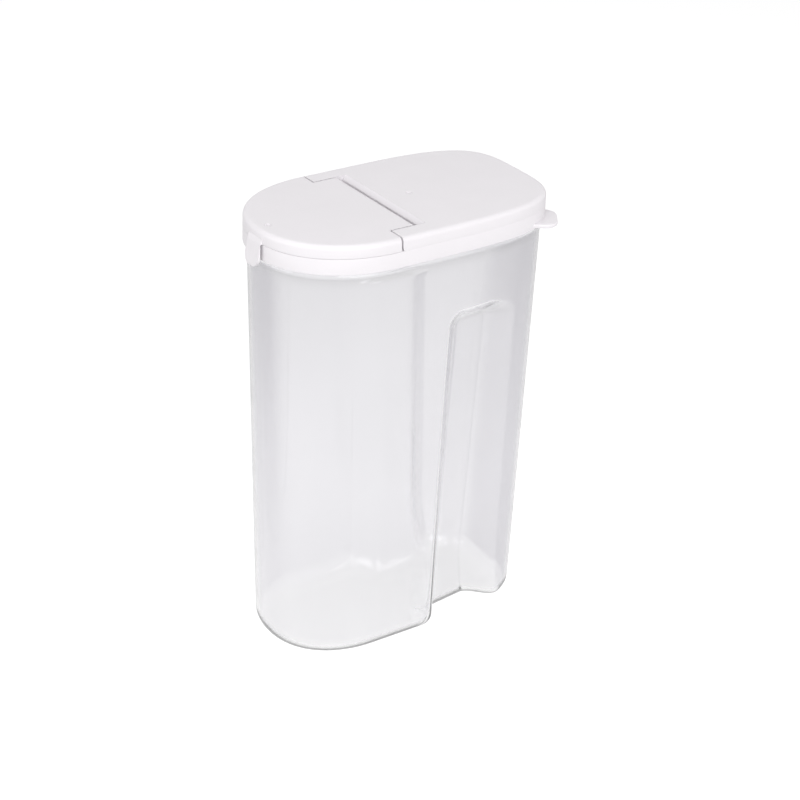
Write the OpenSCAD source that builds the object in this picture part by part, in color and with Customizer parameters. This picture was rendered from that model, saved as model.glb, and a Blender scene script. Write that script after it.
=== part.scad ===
// Cereal container with a lift-off lid and a flip spout flap.
// Millimetres, +Z up, origin on the floor under the middle of the lid's plan.
// The spout end faces -X, the grip end faces +X.

/* [Plan of the lid] */
// Width of the lid across its straight sides
lid_w = 96; // [90:0.5:104]
// Length of the lid from the spout end to the grip end
lid_l = 164.8; // [158:0.2:174]
// Length along X of the curved spout end
front_curve_l = 55.5; // [50:0.5:58]
// Length along X of the curved grip end
rear_curve_l = 87.2; // [82:0.2:92]
// Superellipse exponent of the spout end, where 2 is an ellipse
front_exponent = 2.12; // [2:0.01:2.6]
// Superellipse exponent of the grip end
rear_exponent = 3.65; // [3:0.05:4.2]

/* [Container] */
// Height of the container's rim above the floor
container_h = 241.6; // [220:0.2:260]
// Thickness of the container's wall
wall_t = 1.6; // [1.2:0.1:2]
// Thickness of the container's floor
floor_t = 2.2; // [1.6:0.1:3]
// How much each side leans in from the rim down to the floor
draft = 5.92; // [4:0.02:8]
// Radius of the outside edge round the floor at the spout end
foot_front_r = 12; // [8:0.5:13]
// Radius of that edge at the grip end
foot_rear_r = 7; // [5:0.5:8]
// Height of the bead round the wall above the floor
bead_z = 231.2; // [228:0.2:232]
// Height of the bead's flat
bead_h = 1.2; // [0.8:0.1:1.6]
// How far the bead stands out of the wall
bead_out = 0.3; // [0.2:0.05:0.4]

/* [Grip recesses] */
// Height of the top edge of each recess
recess_top_z = 200.4; // [185:0.2:204]
// Where the front edge of each recess stands along X
recess_front_x = 7.2; // [4:0.2:12]
// Where the rear edge of each recess stands along X, above its flare
recess_rear_x = 54; // [50:0.5:58]
// How much further back the rear edge stands at the container's floor
recess_flare = 7; // [3:0.5:8]
// Height over which that flare fades out
recess_flare_h = 50; // [30:2:70]
// Width of the wall that leads from an edge of a recess to its bottom
recess_run = 10.5; // [10:0.1:12]
// Corner radius of each recess in side view
recess_corner_r = 12; // [8:0.5:16]
// Half width left between the two recesses at the rear edge, at floor level
waist_half_w = 21.5; // [20:0.5:24]
// Widening of the waist per millimetre towards the spout
recess_taper = 0.13; // [0.08:0.01:0.16]
// Widening of the waist per millimetre of height
recess_lean = 0.07; // [0.06:0.002:0.08]

/* [Lid] */
// Height of the lid's skirt from its lower edge to the top
skirt_h = 16; // [14:0.5:20]
// Thickness of the skirts of the lid and the flap
skirt_t = 1.5; // [1.3:0.1:1.7]
// Thickness of the top plates of the lid and the flap
top_t = 1.8; // [1.4:0.1:2.2]
// Radius of the top edge
top_edge_r = 2.7; // [2:0.1:3]
// Thickness of the shoulder that rests over the container's rim
shoulder_t = 1.3; // [1:0.1:1.6]
// Thickness of the lip that hangs inside the container's mouth
lip_t = 1.3; // [1:0.1:1.6]
// Length of that lip below the shoulder
lip_h = 6; // [4:0.5:9]
// Thickness of the deck round the pour opening
deck_t = 1.6; // [1.2:0.1:2]
// Thickness of the collar that carries the deck
collar_t = 1.4; // [1.2:0.1:1.8]
// Width of the deck round the pour opening, from the lid's outline inwards
deck_w = 8.5; // [7.5:0.1:11]
// Corner radius of the pour opening beside the hinge
pour_corner_r = 6; // [4:0.5:9]

/* [Flap] */
// Height of the flap's skirt
flap_skirt_h = 6.9; // [6:0.1:8]
// Thickness of the sealing ring under the flap
seal_t = 1.3; // [1:0.1:1.6]
// Depth of the sealing ring below the flap's plate
seal_h = 4; // [3:0.1:4.6]
// Width of the thumb tongue
tongue_w = 12.6; // [10:0.2:16]
// Thickness of the thumb tongue where it leaves the skirt
tongue_t = 1.2; // [1:0.1:1.5]
// How far the thumb tongue's lower end stands out of the skirt
tongue_out = 3.5; // [3:0.1:4.5]
// How far the thumb tongue hangs below the lid's skirt
tongue_drop = 4.3; // [3:0.1:7]
// Rounding of the thumb tongue's lower edge
tongue_edge_r = 1.2; // [0.8:0.1:1.3]

/* [Hinge] */
// Place of the hinge axis along X
hinge_x = -12.7; // [-14:0.1:-12]
// Radius of the flap's rounded rear edge, which turns about the hinge axis
roll_r = 3; // [2.8:0.05:3.1]
// Radius of the two hinge pins on the flap
pin_r = 1.6; // [1.3:0.05:1.8]
// Width of each ear of the lid beside the flap's tail
ear_w = 11; // [9:0.5:12]
// Radius of the ears' front faces round the hinge axis
ear_r = 12.6; // [11.8:0.1:13]
// Thickness of the cheek that holds each pin
cheek_t = 2.4; // [2:0.1:3]
// Widest angle that the flap opens to, where it meets the stop slope
open_max = 135; // [120:1:137]
// Distance from the hinge axis back to the trough's rear wall
trough_back = 5.1; // [4.8:0.1:5.4]
// Distance from the hinge axis back to the top edge of the stop slope
slope_back = 8.3; // [8:0.1:9]
// Thickness of the trough's walls
trough_t = 1.4; // [1.2:0.1:1.6]

/* [Pull tab] */
// Place of the tab along the curved grip end, as the curve's angle
tab_place = 37.6; // [30:0.2:45]
// Bearing that the tab points to, from +X towards -Y
tab_bearing = 35; // [25:0.5:45]
// Width of the tab
tab_w = 22; // [18:0.5:26]
// How far the tab stands out of the skirt
tab_reach = 7.4; // [7:0.2:10]
// Corner radius of the tab
tab_corner_r = 7; // [5:0.5:7]
// Thickness of the tab
tab_t = 2.2; // [1.6:0.1:2.6]
// Height of the tab above the lower edge of the skirt
tab_lift = 0.8; // [0:0.1:2]

/* [Fits] */
// Gap between the skirt and the container's wall, all round
skirt_gap = 0.33; // [0.3:0.01:0.4]
// Gap between the lip and the inside of the container
lip_gap = 0.35; // [0.3:0.01:0.5]
// Gap between the container's rim and the lid's shoulder
rim_gap = 0.3; // [0.3:0.01:0.4]
// Gap between the flap's skirt and the lid's shoulder
seam_gap = 0.3; // [0.3:0.01:0.5]
// Gap between the flap and its other neighbours on the lid
flap_gap = 0.4; // [0.35:0.01:0.45]
// Radial running clearance of each hinge pin
pin_gap = 0.08; // [0.05:0.01:0.1]

/* [Gate marks] */
// Radius of the moulding marks on the flap and the lid
gate_r = 1.3; // [0.8:0.1:1.6]
// Height of the moulding marks
gate_h = 0.25; // [0.1:0.05:0.3]
// Distance of the flap's moulding mark from the spout end
flap_gate_in = 7.2; // [6:0.1:14]
// Distance of the lid's moulding mark behind the hinge axis
lid_gate_back = 23.2; // [16:0.1:60]

/* [Hidden] */

// Steps of the drawn curves
side_steps = 18;
shoulder_steps = 2;
recess_steps = 7;
waist_steps = 4;
turn_steps = 4;
end_steps = 7;
front_steps = 12;
edge_steps = 4;
foot_steps = 5;
flare_steps = 4;
ledge_steps = 7;
round_fn = 96;

// Share of an inset by which the edges of a grip recess move outwards
recess_share = 0.5;
// Distance kept between a feature of the wall and the next drawn line
line_gap = 1;

// A nudge that lets neighbouring shapes of one piece share some material
bite = 0.05;
// A length that passes right through anything cut
through = 400;

// Where the straight sides of the plan start and end
front_straight_x = front_curve_l - lid_l / 2;
rear_straight_x = lid_l / 2 - rear_curve_l;
// Share of a superellipse's half axes at which its side turns into its end
rear_turn = pow(0.5, 1 / rear_exponent);
rear_turn_x = rear_straight_x + rear_curve_l * rear_turn;

// Heights, from the floor up
rim_inset = skirt_t + skirt_gap;
shoulder_z = container_h + rim_gap;
seam_z = shoulder_z + shoulder_t;
flap_z = seam_z + seam_gap;
top_z = flap_z + flap_skirt_h;
skirt_z = top_z - skirt_h;
plate_z = top_z - top_t;
deck_z = plate_z - flap_gap - deck_t;
seal_z = plate_z - seal_h;
hinge_z = top_z - roll_r;

// Insets from the lid's outline
lip_inset = rim_inset + wall_t + lip_gap + draft * lip_h / container_h;
collar_inset = skirt_t + flap_gap;

// The hinge trough clears the rear roll, which turns in it
trough_front_x = hinge_x - roll_r - flap_gap;
trough_rear_x = hinge_x + trough_back;
slope_top_x = hinge_x + slope_back;
slope_z = top_z - (slope_back - trough_back) / tan(open_max - 90);
trough_z = hinge_z - roll_r - flap_gap;
ear_y = lid_w / 2 - ear_w;
tail_y = ear_y - flap_gap;
pin_end_y = ear_y + cheek_t;
pour_rear_x = hinge_x - ear_r - flap_gap;

// The thumb tongue hangs in front of the lid's skirt
tongue_z = skirt_z - tongue_drop;
tongue_back_x = -lid_l / 2 - flap_gap;
tongue_out_x = -lid_l / 2 - tongue_out;
tongue_root_z = flap_z + top_edge_r;

function flip(list) = [for (i = [len(list) - 1 : -1 : 0]) list[i]];

// A smooth step from 0 to 1
function ease(t) = (1 - cos(180 * min(1, max(0, t)))) / 2;

// The other coordinate of a superellipse with half axes a and b
function across(u, a, b, n) = b * pow(max(0, 1 - pow(min(1, u / a), n)), 1 / n);

// A point of a superellipse, followed by its outward normal
function with_normal(u, v, a, b, n, x, direction) =
    let (g = [direction * pow(u / a, n - 1) / a, pow(v / b, n - 1) / b])
    [x + direction * u, v, g[0] / norm(g), g[1] / norm(g)];

// The lid's plan for the half with y >= 0, with its straighter side drawn at the given places
function rear_quarter(xs) =
    let (a = rear_curve_l, b = lid_w / 2, n = rear_exponent)
    concat(
        [for (x = xs)
            let (u = x - rear_straight_x)
            with_normal(u, across(u, a, b, n), a, b, n, rear_straight_x, 1)],
        [for (i = [0 : end_steps])
            let (v = b * rear_turn * (1 - i / end_steps))
            with_normal(across(v, b, a, n), v, a, b, n, rear_straight_x, 1)]);

function front_quarter() =
    let (a = front_curve_l, b = lid_w / 2, k = 2 / front_exponent)
    [for (i = [0 : front_steps])
        let (t = 90 * i / front_steps)
        with_normal(a * pow(cos(t), k), i == 0 ? 0 : b * pow(sin(t), k),
            a, b, front_exponent, front_straight_x, -1)];

function plan(xs) =
    let (half = concat(flip(rear_quarter(xs)), flip(front_quarter())))
    concat(half, [for (i = [len(half) - 2 : -1 : 1])
        let (p = half[i]) [p[0], -p[1], p[2], -p[3]]]);

// Evenly spaced places between stops, with a count for each stretch
function stepped(stops, counts) =
    [for (k = [0 : len(counts) - 1], i = [0 : counts[k] - 1])
        stops[k] + (stops[k + 1] - stops[k]) * i / counts[k]];

function moved_in(p, inset) = [p[0] - p[2] * inset, p[1] - p[3] * inset];

lid_plan = plan(stepped([rear_straight_x, rear_turn_x], [side_steps]));

// The lid's plan, drawn in by an inset along its own normals
function outline(inset) = [for (p = lid_plan) moved_in(p, inset)];

// The container's wall leans in evenly towards the floor
function wall_inset(z) = rim_inset + draft * (container_h - z) / container_h;

// Where the rear edge of each grip recess stands along X at a height
function recess_rear(z) =
    recess_rear_x + recess_flare * pow(max(0, 1 - z / recess_flare_h), 2);

// How far a point of the wall lies inside the rounded edge of a grip recess
function recess_in(x, z, grow) =
    let (
        u = min(x - recess_front_x, recess_rear(z) - x) + grow,
        v = recess_top_z - z + grow,
        r = recess_corner_r
    )
    (u < r && v < r) ? r - norm([r - u, r - v]) : min(u, v);

// Half width of the container where it would be y without its grip recesses
function waist_y(x, y, z, inset) =
    let (floor_y = waist_half_w + recess_taper * (recess_rear_x - x) + recess_lean * z - inset)
    y - max(0, y - floor_y) * ease(recess_in(x, z, inset * recess_share) / recess_run);

// Plan of the container, drawn closer where the walls of the grip recesses run
function body_plan(z, inset) =
    let (
        front_x = recess_front_x - inset * recess_share,
        rear_x = min(recess_rear(z) + inset * recess_share, rear_turn_x - line_gap)
    )
    plan(stepped(
        [rear_straight_x, front_x, front_x + recess_run, rear_x - recess_run, rear_x, rear_turn_x],
        [shoulder_steps, recess_steps, waist_steps, recess_steps, turn_steps]));

// A point of the container's wall, drawn in by a further inset
function body_point(p, z, inset) =
    let (q = moved_in(p, wall_inset(z) + inset))
    q[0] < front_straight_x ? [q[0], q[1], z]
        : [q[0], sign(q[1]) * waist_y(q[0], abs(q[1]), z, inset), z];

function body_ring(z, inset) = [for (p = body_plan(z, inset)) body_point(p, z, inset)];

function fillet_in(r, t) = r * (1 - sin(t));
function fillet_up(r, t) = r * (1 - cos(t));

// The foot's radius eases from the spout end to the grip end
function foot_r(x) = foot_front_r + (foot_rear_r - foot_front_r) * ease(x / recess_rear_x);

// A ring of the foot's rounded edge, or of the rounded root inside it, at an angle
function foot_ring(t, skin_t, low) =
    [for (p = body_plan(fillet_up(foot_rear_r, t), fillet_in(foot_rear_r, t)))
        let (r = foot_r(p[0]) - skin_t)
        body_point(p, low + fillet_up(r, t), skin_t + fillet_in(r, t))];

function at_height(ring, z) = [for (p = ring) [p[0], p[1], z]];

// A closed skin through a stack of rings with equal numbers of points
module skin(rings) {
    n = len(rings[0]);
    sides = [for (k = [0 : len(rings) - 2], i = [0 : n - 1], half = [0, 1])
        let (a = k * n + i, b = k * n + (i + 1) % n)
        half == 0 ? [a, a + n, b + n] : [a, b + n, b]];
    first = [for (i = [0 : n - 1]) i];
    last = [for (i = [n - 1 : -1 : 0]) (len(rings) - 1) * n + i];
    polyhedron(points = [for (ring = rings, p = ring) p], faces = concat(sides, [first, last]));
}

// Heights at which the container's wall is drawn, apart from its rounded foot
ledge_z = recess_top_z - recess_corner_r - line_gap;
flare_levels = [for (i = [0 : flare_steps])
    foot_front_r + line_gap + (recess_flare_h - foot_front_r) * i / flare_steps];
ledge_levels = [for (i = [0 : ledge_steps])
    ledge_z + (recess_top_z + 2 * line_gap - ledge_z) * i / ledge_steps];
wall_levels = concat(flare_levels, ledge_levels);

module container() {
    foot = [for (i = [0 : foot_steps]) foot_ring(90 * i / foot_steps, 0, 0)];
    outer = [for (z = wall_levels) body_ring(z, 0)];
    bead = [for (s = [[-bead_out, 0], [0, 1], [bead_h, 1], [bead_h + bead_out, 0]])
        body_ring(bead_z + s[0], -bead_out * s[1])];
    inner = [for (z = flip(concat(wall_levels, [container_h]))) body_ring(z, wall_t)];
    root = [for (i = [foot_steps : -1 : 0]) foot_ring(90 * i / foot_steps, wall_t, floor_t)];
    color([0.88, 0.89, 0.92, 0.45])
        skin(concat(foot, outer, bead, [body_ring(container_h, 0)], inner, root));
}

module slab(inset, low, high) {
    translate([0, 0, low]) linear_extrude(high - low) polygon(outline(inset));
}

module band(outer, inner, low, high) {
    difference() {
        slab(outer, low, high);
        slab(inner, low - bite, high + bite);
    }
}

// The full plan with a rounded top edge, hollow below its top plate
module capped_shell(low) {
    difference() {
        skin(concat([at_height(outline(0), low)],
            [for (i = [edge_steps : -1 : 0])
                let (t = 90 * i / edge_steps)
                at_height(outline(fillet_in(top_edge_r, t)),
                    top_z - fillet_up(top_edge_r, t))]));
        slab(skirt_t, low - bite, plate_z);
    }
}

module along_y(half_length) {
    rotate([90, 0, 0]) linear_extrude(2 * half_length, center = true) children();
}

module hinge_cylinder(r, half_length) {
    translate([hinge_x, 0, hinge_z]) rotate([90, 0, 0])
        cylinder(r = r, h = 2 * half_length, center = true, $fn = round_fn);
}

module block(x0, x1, y0, y1, z0, z1) {
    translate([x0, y0, z0]) cube([x1 - x0, y1 - y0, z1 - z0]);
}

module both_sides() {
    children();
    mirror([0, 1, 0]) children();
}

// The plan of the pour opening, drawn in by a gap
module pour_shape(gap) {
    r = pour_corner_r - gap / 2;
    x = pour_rear_x - gap;
    y = lid_w / 2 - deck_w - gap;
    intersection() {
        polygon(outline(deck_w + gap));
        union() {
            translate([-through / 2 + x - r, 0]) square(through, center = true);
            translate([-through + x, -y + r]) square([through, 2 * (y - r)]);
            for (side = [-1, 1])
                translate([x - r, side * (y - r)]) circle(r = r, $fn = round_fn);
        }
    }
}

// Everything of the lid's plan that lies behind the flap, ears included
module behind_flap(low) {
    block(slope_top_x, through, -through, through, low, through);
    both_sides() {
        block(hinge_x, through, ear_y, through, low, through);
        intersection() {
            translate([0, through / 2 + ear_y, 0]) hinge_cylinder(ear_r, through / 2);
            block(-through, through, ear_y, through, low, through);
        }
    }
}

// Front face and cheek of one ear, with the cheek inside the mouth
module ear_walls() {
    difference() {
        translate([0, through / 2 + ear_y, 0]) hinge_cylinder(ear_r, through / 2);
        translate([0, through / 2 + ear_y, 0]) hinge_cylinder(ear_r - trough_t, through / 2 + bite);
        block(hinge_x, through, -through, through, -through, through);
        block(-through, through, -through, through, -through, seam_z - bite);
    }
    intersection() {
        block(-through, slope_top_x + bite, ear_y, ear_y + cheek_t, trough_z - trough_t, through);
        union() {
            hinge_cylinder(ear_r, through);
            block(hinge_x, through, -through, through, -through, through);
        }
    }
}

module trough() {
    low = trough_z - trough_t;
    along_y(ear_y + cheek_t / 2) polygon([
        [trough_front_x, deck_z + deck_t],
        [trough_front_x, trough_z],
        [trough_rear_x, trough_z],
        [trough_rear_x, slope_z],
        [slope_top_x, top_z],
        [slope_top_x + 2 * top_t, top_z],
        [slope_top_x + 2 * top_t, plate_z],
        [slope_top_x + trough_t / 2, plate_z],
        [trough_rear_x + trough_t, slope_z - trough_t / 2],
        [trough_rear_x + trough_t, low],
        [trough_front_x - trough_t, low],
        [trough_front_x - trough_t, deck_z + deck_t]]);
}

module deck() {
    front_x = trough_front_x - bite;
    intersection() {
        difference() {
            union() {
                band(collar_inset, collar_inset + collar_t, seam_z - bite, deck_z + deck_t);
                slab(collar_inset + bite, deck_z, deck_z + deck_t);
            }
            translate([0, 0, deck_z - bite]) linear_extrude(deck_t + 2 * bite) pour_shape(0);
        }
        block(-through, front_x, -through, through, 0, through);
    }
}

module pull_tab() {
    k = 2 / rear_exponent;
    root_x = rear_straight_x + rear_curve_l * pow(cos(tab_place), k);
    root_y = -lid_w / 2 * pow(sin(tab_place), k);
    r = tab_corner_r;
    translate([root_x, root_y, skirt_z + tab_lift]) rotate([0, 0, -tab_bearing])
        linear_extrude(tab_t) {
            translate([-tab_w / 2, -tab_w / 2]) square([tab_w / 2 + tab_reach - r, tab_w]);
            translate([-tab_w / 2, r - tab_w / 2]) square([tab_w / 2 + tab_reach, tab_w - 2 * r]);
            for (side = [-1, 1])
                translate([tab_reach - r, side * (tab_w / 2 - r)]) circle(r = r, $fn = round_fn);
        }
}

module gate_mark(x) {
    translate([x, 0, top_z - bite]) cylinder(r = gate_r, h = gate_h + bite, $fn = round_fn);
}

module lid() {
    color([0.93, 0.93, 0.94])
    difference() {
        union() {
            band(0, skirt_t, skirt_z, seam_z);
            band(skirt_t - bite, lip_inset + lip_t, shoulder_z, seam_z);
            band(lip_inset, lip_inset + lip_t, shoulder_z - lip_h, shoulder_z + bite);
            intersection() {
                capped_shell(seam_z - bite);
                behind_flap(seam_z - 2 * bite);
            }
            intersection() {
                both_sides() ear_walls();
                slab(skirt_t / 2, 0, plate_z + bite);
            }
            trough();
            deck();
            difference() {
                pull_tab();
                slab(skirt_t / 2, 0, through);
            }
            gate_mark(hinge_x + lid_gate_back);
        }
        hinge_cylinder(pin_r + pin_gap, pin_end_y + flap_gap);
    }
}

module tongue() {
    r = tongue_w / 2;
    e = tongue_edge_r;
    root_x = skirt_t / 2 - lid_l / 2;
    intersection() {
        along_y(r) {
            polygon([
                [root_x, flap_z],
                [tongue_back_x, flap_z],
                [tongue_back_x, tongue_z + e],
                [tongue_back_x - e, tongue_z],
                [tongue_out_x + e, tongue_z],
                [tongue_out_x, tongue_z + e],
                [-lid_l / 2 - tongue_t, flap_z],
                [-lid_l / 2, tongue_root_z],
                [root_x, tongue_root_z]]);
            for (x = [tongue_back_x - e, tongue_out_x + e])
                translate([x, tongue_z + e]) circle(r = e, $fn = round_fn);
        }
        translate([root_x, 0, tongue_z + r]) rotate([0, -90, 0]) {
            cylinder(r = r, h = tongue_w, $fn = round_fn);
            translate([0, -r, 0]) cube([through, tongue_w, tongue_w]);
        }
    }
}

module flap() {
    color([0.95, 0.95, 0.96])
    union() {
        difference() {
            capped_shell(flap_z);
            block(hinge_x, through, -through, through, -through, through);
            both_sides() translate([0, through / 2 + tail_y, 0])
                hinge_cylinder(ear_r + flap_gap, through / 2);
        }
        hinge_cylinder(roll_r, tail_y);
        hinge_cylinder(pin_r, pin_end_y);
        translate([0, 0, seal_z]) linear_extrude(seal_h + bite) difference() {
            pour_shape(flap_gap);
            pour_shape(flap_gap + seal_t);
        }
        tongue();
        gate_mark(flap_gate_in - lid_l / 2);
    }
}

container();
lid();
flap();
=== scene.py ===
"""Looks of a clear cereal container with a white lift-off lid and a hinged spout flap.

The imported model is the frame. The container's wall, the lid and the flap are modelled again here from
the same plan, with fine curves and rounded edges, and each gets its finish. Sizes are in millimetres
and meshes are made in metres.
"""

import logging
import math
from collections.abc import Sequence
from dataclasses import dataclass
from enum import Enum

import bpy
import numpy as np
from mathutils import Matrix, Vector


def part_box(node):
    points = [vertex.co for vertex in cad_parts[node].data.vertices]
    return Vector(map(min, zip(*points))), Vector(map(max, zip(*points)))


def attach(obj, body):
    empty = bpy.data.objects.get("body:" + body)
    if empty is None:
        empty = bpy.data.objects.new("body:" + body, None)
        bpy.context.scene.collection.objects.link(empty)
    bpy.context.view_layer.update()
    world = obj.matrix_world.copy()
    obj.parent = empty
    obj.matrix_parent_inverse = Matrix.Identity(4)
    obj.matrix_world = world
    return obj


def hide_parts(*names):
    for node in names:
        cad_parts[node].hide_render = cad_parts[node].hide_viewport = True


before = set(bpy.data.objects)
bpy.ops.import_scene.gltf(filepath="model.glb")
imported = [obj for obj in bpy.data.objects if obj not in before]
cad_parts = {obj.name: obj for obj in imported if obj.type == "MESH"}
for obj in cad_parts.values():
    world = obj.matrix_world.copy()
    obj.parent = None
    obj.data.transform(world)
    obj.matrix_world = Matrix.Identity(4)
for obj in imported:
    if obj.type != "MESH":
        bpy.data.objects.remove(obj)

log = logging.getLogger("cereal_container")

MM = 0.001
NOISE_SPAN = (0.3, 0.7)
FINE_DETAIL = 2
BROAD_DETAIL = 3

Point = tuple[float, float, float]
Corner = tuple[float, float, float]
Span = tuple[float, float]
Colour = tuple[float, float, float]
Solid = bpy.types.Object
Socket = bpy.types.NodeSocket
Value = Socket | float | tuple[float, ...]


class Change(Enum):
    """How one solid changes another."""

    JOIN = "UNION"
    REMOVE = "DIFFERENCE"
    KEEP = "INTERSECT"


class Side(Enum):
    """A long side of the container, by the sign of its Y."""

    NEAR = -1
    FAR = 1

    def span(self, inner: float, outer: float) -> list[float]:
        """A stretch of this side along Y, its lower end first."""
        return sorted((self.value * inner, self.value * outer))


def ease(share: np.ndarray) -> np.ndarray:
    """A smooth step from 0 to 1."""
    return (1 - np.cos(math.pi * np.clip(share, 0, 1))) / 2


def arc_steps(steps: int) -> np.ndarray:
    """Angles from 0 to a quarter turn, in radians."""
    return np.linspace(0, math.pi / 2, steps + 1)


def quarter_round(steps: int) -> list[Span]:
    """Distances from the two sides of a square corner along its rounding, for a radius of 1."""
    return [(1 - math.sin(turn), 1 - math.cos(turn)) for turn in arc_steps(steps)]


def stretches(stops: Sequence[float], steps: Sequence[int]) -> np.ndarray:
    """The starts of the steps that divide each stretch between two stops."""
    parts = zip(stops[:-1], stops[1:], steps)
    return np.concatenate([np.linspace(start, end, count, endpoint=False) for start, end, count in parts])


def rectangle(left: float, right: float, low: float, high: float) -> np.ndarray:
    """The four corners of a rectangle."""
    return np.array([(left, low), (right, low), (right, high), (left, high)])


def circle(x: float, y: float, radius: float, steps: int) -> np.ndarray:
    """Points of a circle in a plane."""
    turn = np.linspace(0, 2 * math.pi, steps, endpoint=False)
    return np.column_stack([x + radius * np.cos(turn), y + radius * np.sin(turn)])


def rounded(corners: Sequence[Corner], steps: int = 4) -> np.ndarray:
    """Draws a closed polygon with rounded corners.

    Args:
        corners: The x, y and radius of each corner, in order.
        steps: How many chords each rounded corner gets.

    Returns:
        The polygon's points, one row each.
    """
    places = np.array([corner[:2] for corner in corners], float)
    points = []
    for index, corner in enumerate(corners):
        place, radius = places[index], corner[2]
        if radius <= 0:
            points.append(place)
            continue
        back = places[index - 1] - place
        ahead = places[(index + 1) % len(corners)] - place
        back /= np.linalg.norm(back)
        ahead /= np.linalg.norm(ahead)
        half = math.acos(float(np.clip(back @ ahead, -1, 1))) / 2
        middle = back + ahead
        centre = place + middle / np.linalg.norm(middle) * radius / math.sin(half)
        start = place + back * radius / math.tan(half) - centre
        end = place + ahead * radius / math.tan(half) - centre
        turn = math.atan2(start[0] * end[1] - start[1] * end[0], float(start @ end))
        for angle in np.linspace(0, turn, steps + 1):
            cos, sin = math.cos(angle), math.sin(angle)
            points.append(centre + (start[0] * cos - start[1] * sin, start[0] * sin + start[1] * cos))
    return np.array(points)


def add_object(name: str, data: bpy.types.ID) -> bpy.types.Object:
    """Puts something into the scene.

    Args:
        name: The object's name.
        data: Its mesh, lamp or camera.

    Returns:
        The new object.
    """
    made = bpy.data.objects.new(name, data)
    bpy.context.scene.collection.objects.link(made)
    return made


def mesh_object(name: str, points: np.ndarray, faces: list[list[int]]) -> Solid:
    """Makes a mesh object.

    Args:
        name: The object's name.
        points: Its points in millimetres, one row each.
        faces: The point numbers of each face.

    Returns:
        The new object, linked to the scene.
    """
    mesh = bpy.data.meshes.new(name)
    mesh.from_pydata((points * MM).tolist(), [], faces)
    mesh.validate()
    return add_object(name, mesh)


def tube_faces(rings: int, count: int, joined: bool) -> list[list[int]]:
    """Faces between neighbouring rings of points.

    Args:
        rings: How many rings there are.
        count: How many points each ring has.
        joined: Whether the last ring meets the first.

    Returns:
        The faces, four points each.
    """
    faces = []
    for ring in range(rings if joined else rings - 1):
        low, high = ring * count, (ring + 1) % rings * count
        for start in range(count):
            end = (start + 1) % count
            faces.append([low + start, low + end, high + end, high + start])
    return faces


def face_outward(solid: Solid) -> None:
    """Turns a closed solid's faces outward.

    Args:
        solid: The solid, whose volume comes out negative where its faces look inward.
    """
    points = np.zeros(len(solid.data.vertices) * 3)
    solid.data.vertices.foreach_get("co", points)
    points = points.reshape(-1, 3)
    solid.data.calc_loop_triangles()
    corners = np.zeros(len(solid.data.loop_triangles) * 3, int)
    solid.data.loop_triangles.foreach_get("vertices", corners)
    a, b, c = points[corners.reshape(-1, 3).T]
    if np.einsum("ij,ij->i", a, np.cross(b, c)).sum() < 0:
        solid.data.flip_normals()


def skin(name: str, rings: Sequence[np.ndarray], joined: bool = False) -> Solid:
    """Makes a closed solid through a stack of rings.

    Args:
        name: The object's name.
        rings: The rings' points, as many in each.
        joined: Whether the last ring meets the first. Otherwise flat caps close the ends.

    Returns:
        The new solid.
    """
    count = len(rings[0])
    faces = tube_faces(len(rings), count, joined)
    if not joined:
        last = (len(rings) - 1) * count
        faces.append(list(range(count - 1, -1, -1)))
        faces.append(list(range(last, last + count)))
    made = mesh_object(name, np.concatenate(rings), faces)
    face_outward(made)
    return made


def level(ring: np.ndarray, height: float) -> np.ndarray:
    """A flat ring of points at a height."""
    return np.column_stack([ring[:, :2], np.full(len(ring), height)])


def prism(name: str, outline: np.ndarray, low: float, high: float) -> Solid:
    """A flat outline drawn up from one height to another."""
    return skin(name, [level(outline, low), level(outline, high)])


def bar(name: str, profile: np.ndarray, low: float, high: float) -> Solid:
    """A profile in X and Z drawn along Y from one place to another."""
    ends = [np.column_stack([profile[:, 0], np.full(len(profile), y), profile[:, 1]]) for y in (low, high)]
    return skin(name, ends)


def change(body: Solid, tools: Sequence[Solid], how: Change) -> Solid:
    """Changes a solid by other solids, which are used up.

    Args:
        body: The solid that changes.
        tools: The solids that change it, one after the other.
        how: Whether they are added, taken away or kept in common.

    Returns:
        The changed solid.
    """
    for tool in tools:
        modifier = body.modifiers.new(how.name, "BOOLEAN")
        modifier.operation = how.value
        modifier.solver = "MANIFOLD"
        modifier.object = tool
    graph = bpy.context.evaluated_depsgraph_get()
    result = bpy.data.meshes.new_from_object(body.evaluated_get(graph))
    body.modifiers.clear()
    body.data = result
    for tool in tools:
        bpy.data.objects.remove(tool)
    return body


def dress(piece: Solid, material: bpy.types.Material, sharp: float) -> None:
    """Gives a whole piece one material and smooth shading. The empty slots that cutting leaves go.

    Args:
        piece: The piece.
        material: The material.
        sharp: The angle in degrees above which an edge stays sharp.
    """
    piece.data.materials.clear()
    piece.data.materials.append(material)
    for face in piece.data.polygons:
        face.material_index = 0
    piece.data.shade_smooth()
    piece.data.set_sharp_from_angle(angle=math.radians(sharp))


def bearing(azimuth: float, elevation: float) -> Vector:
    """The direction that lies at a bearing and a height above the horizon, in degrees."""
    a, e = math.radians(azimuth), math.radians(elevation)
    return Vector((math.sin(a) * math.cos(e), -math.cos(a) * math.cos(e), math.sin(e)))


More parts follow.
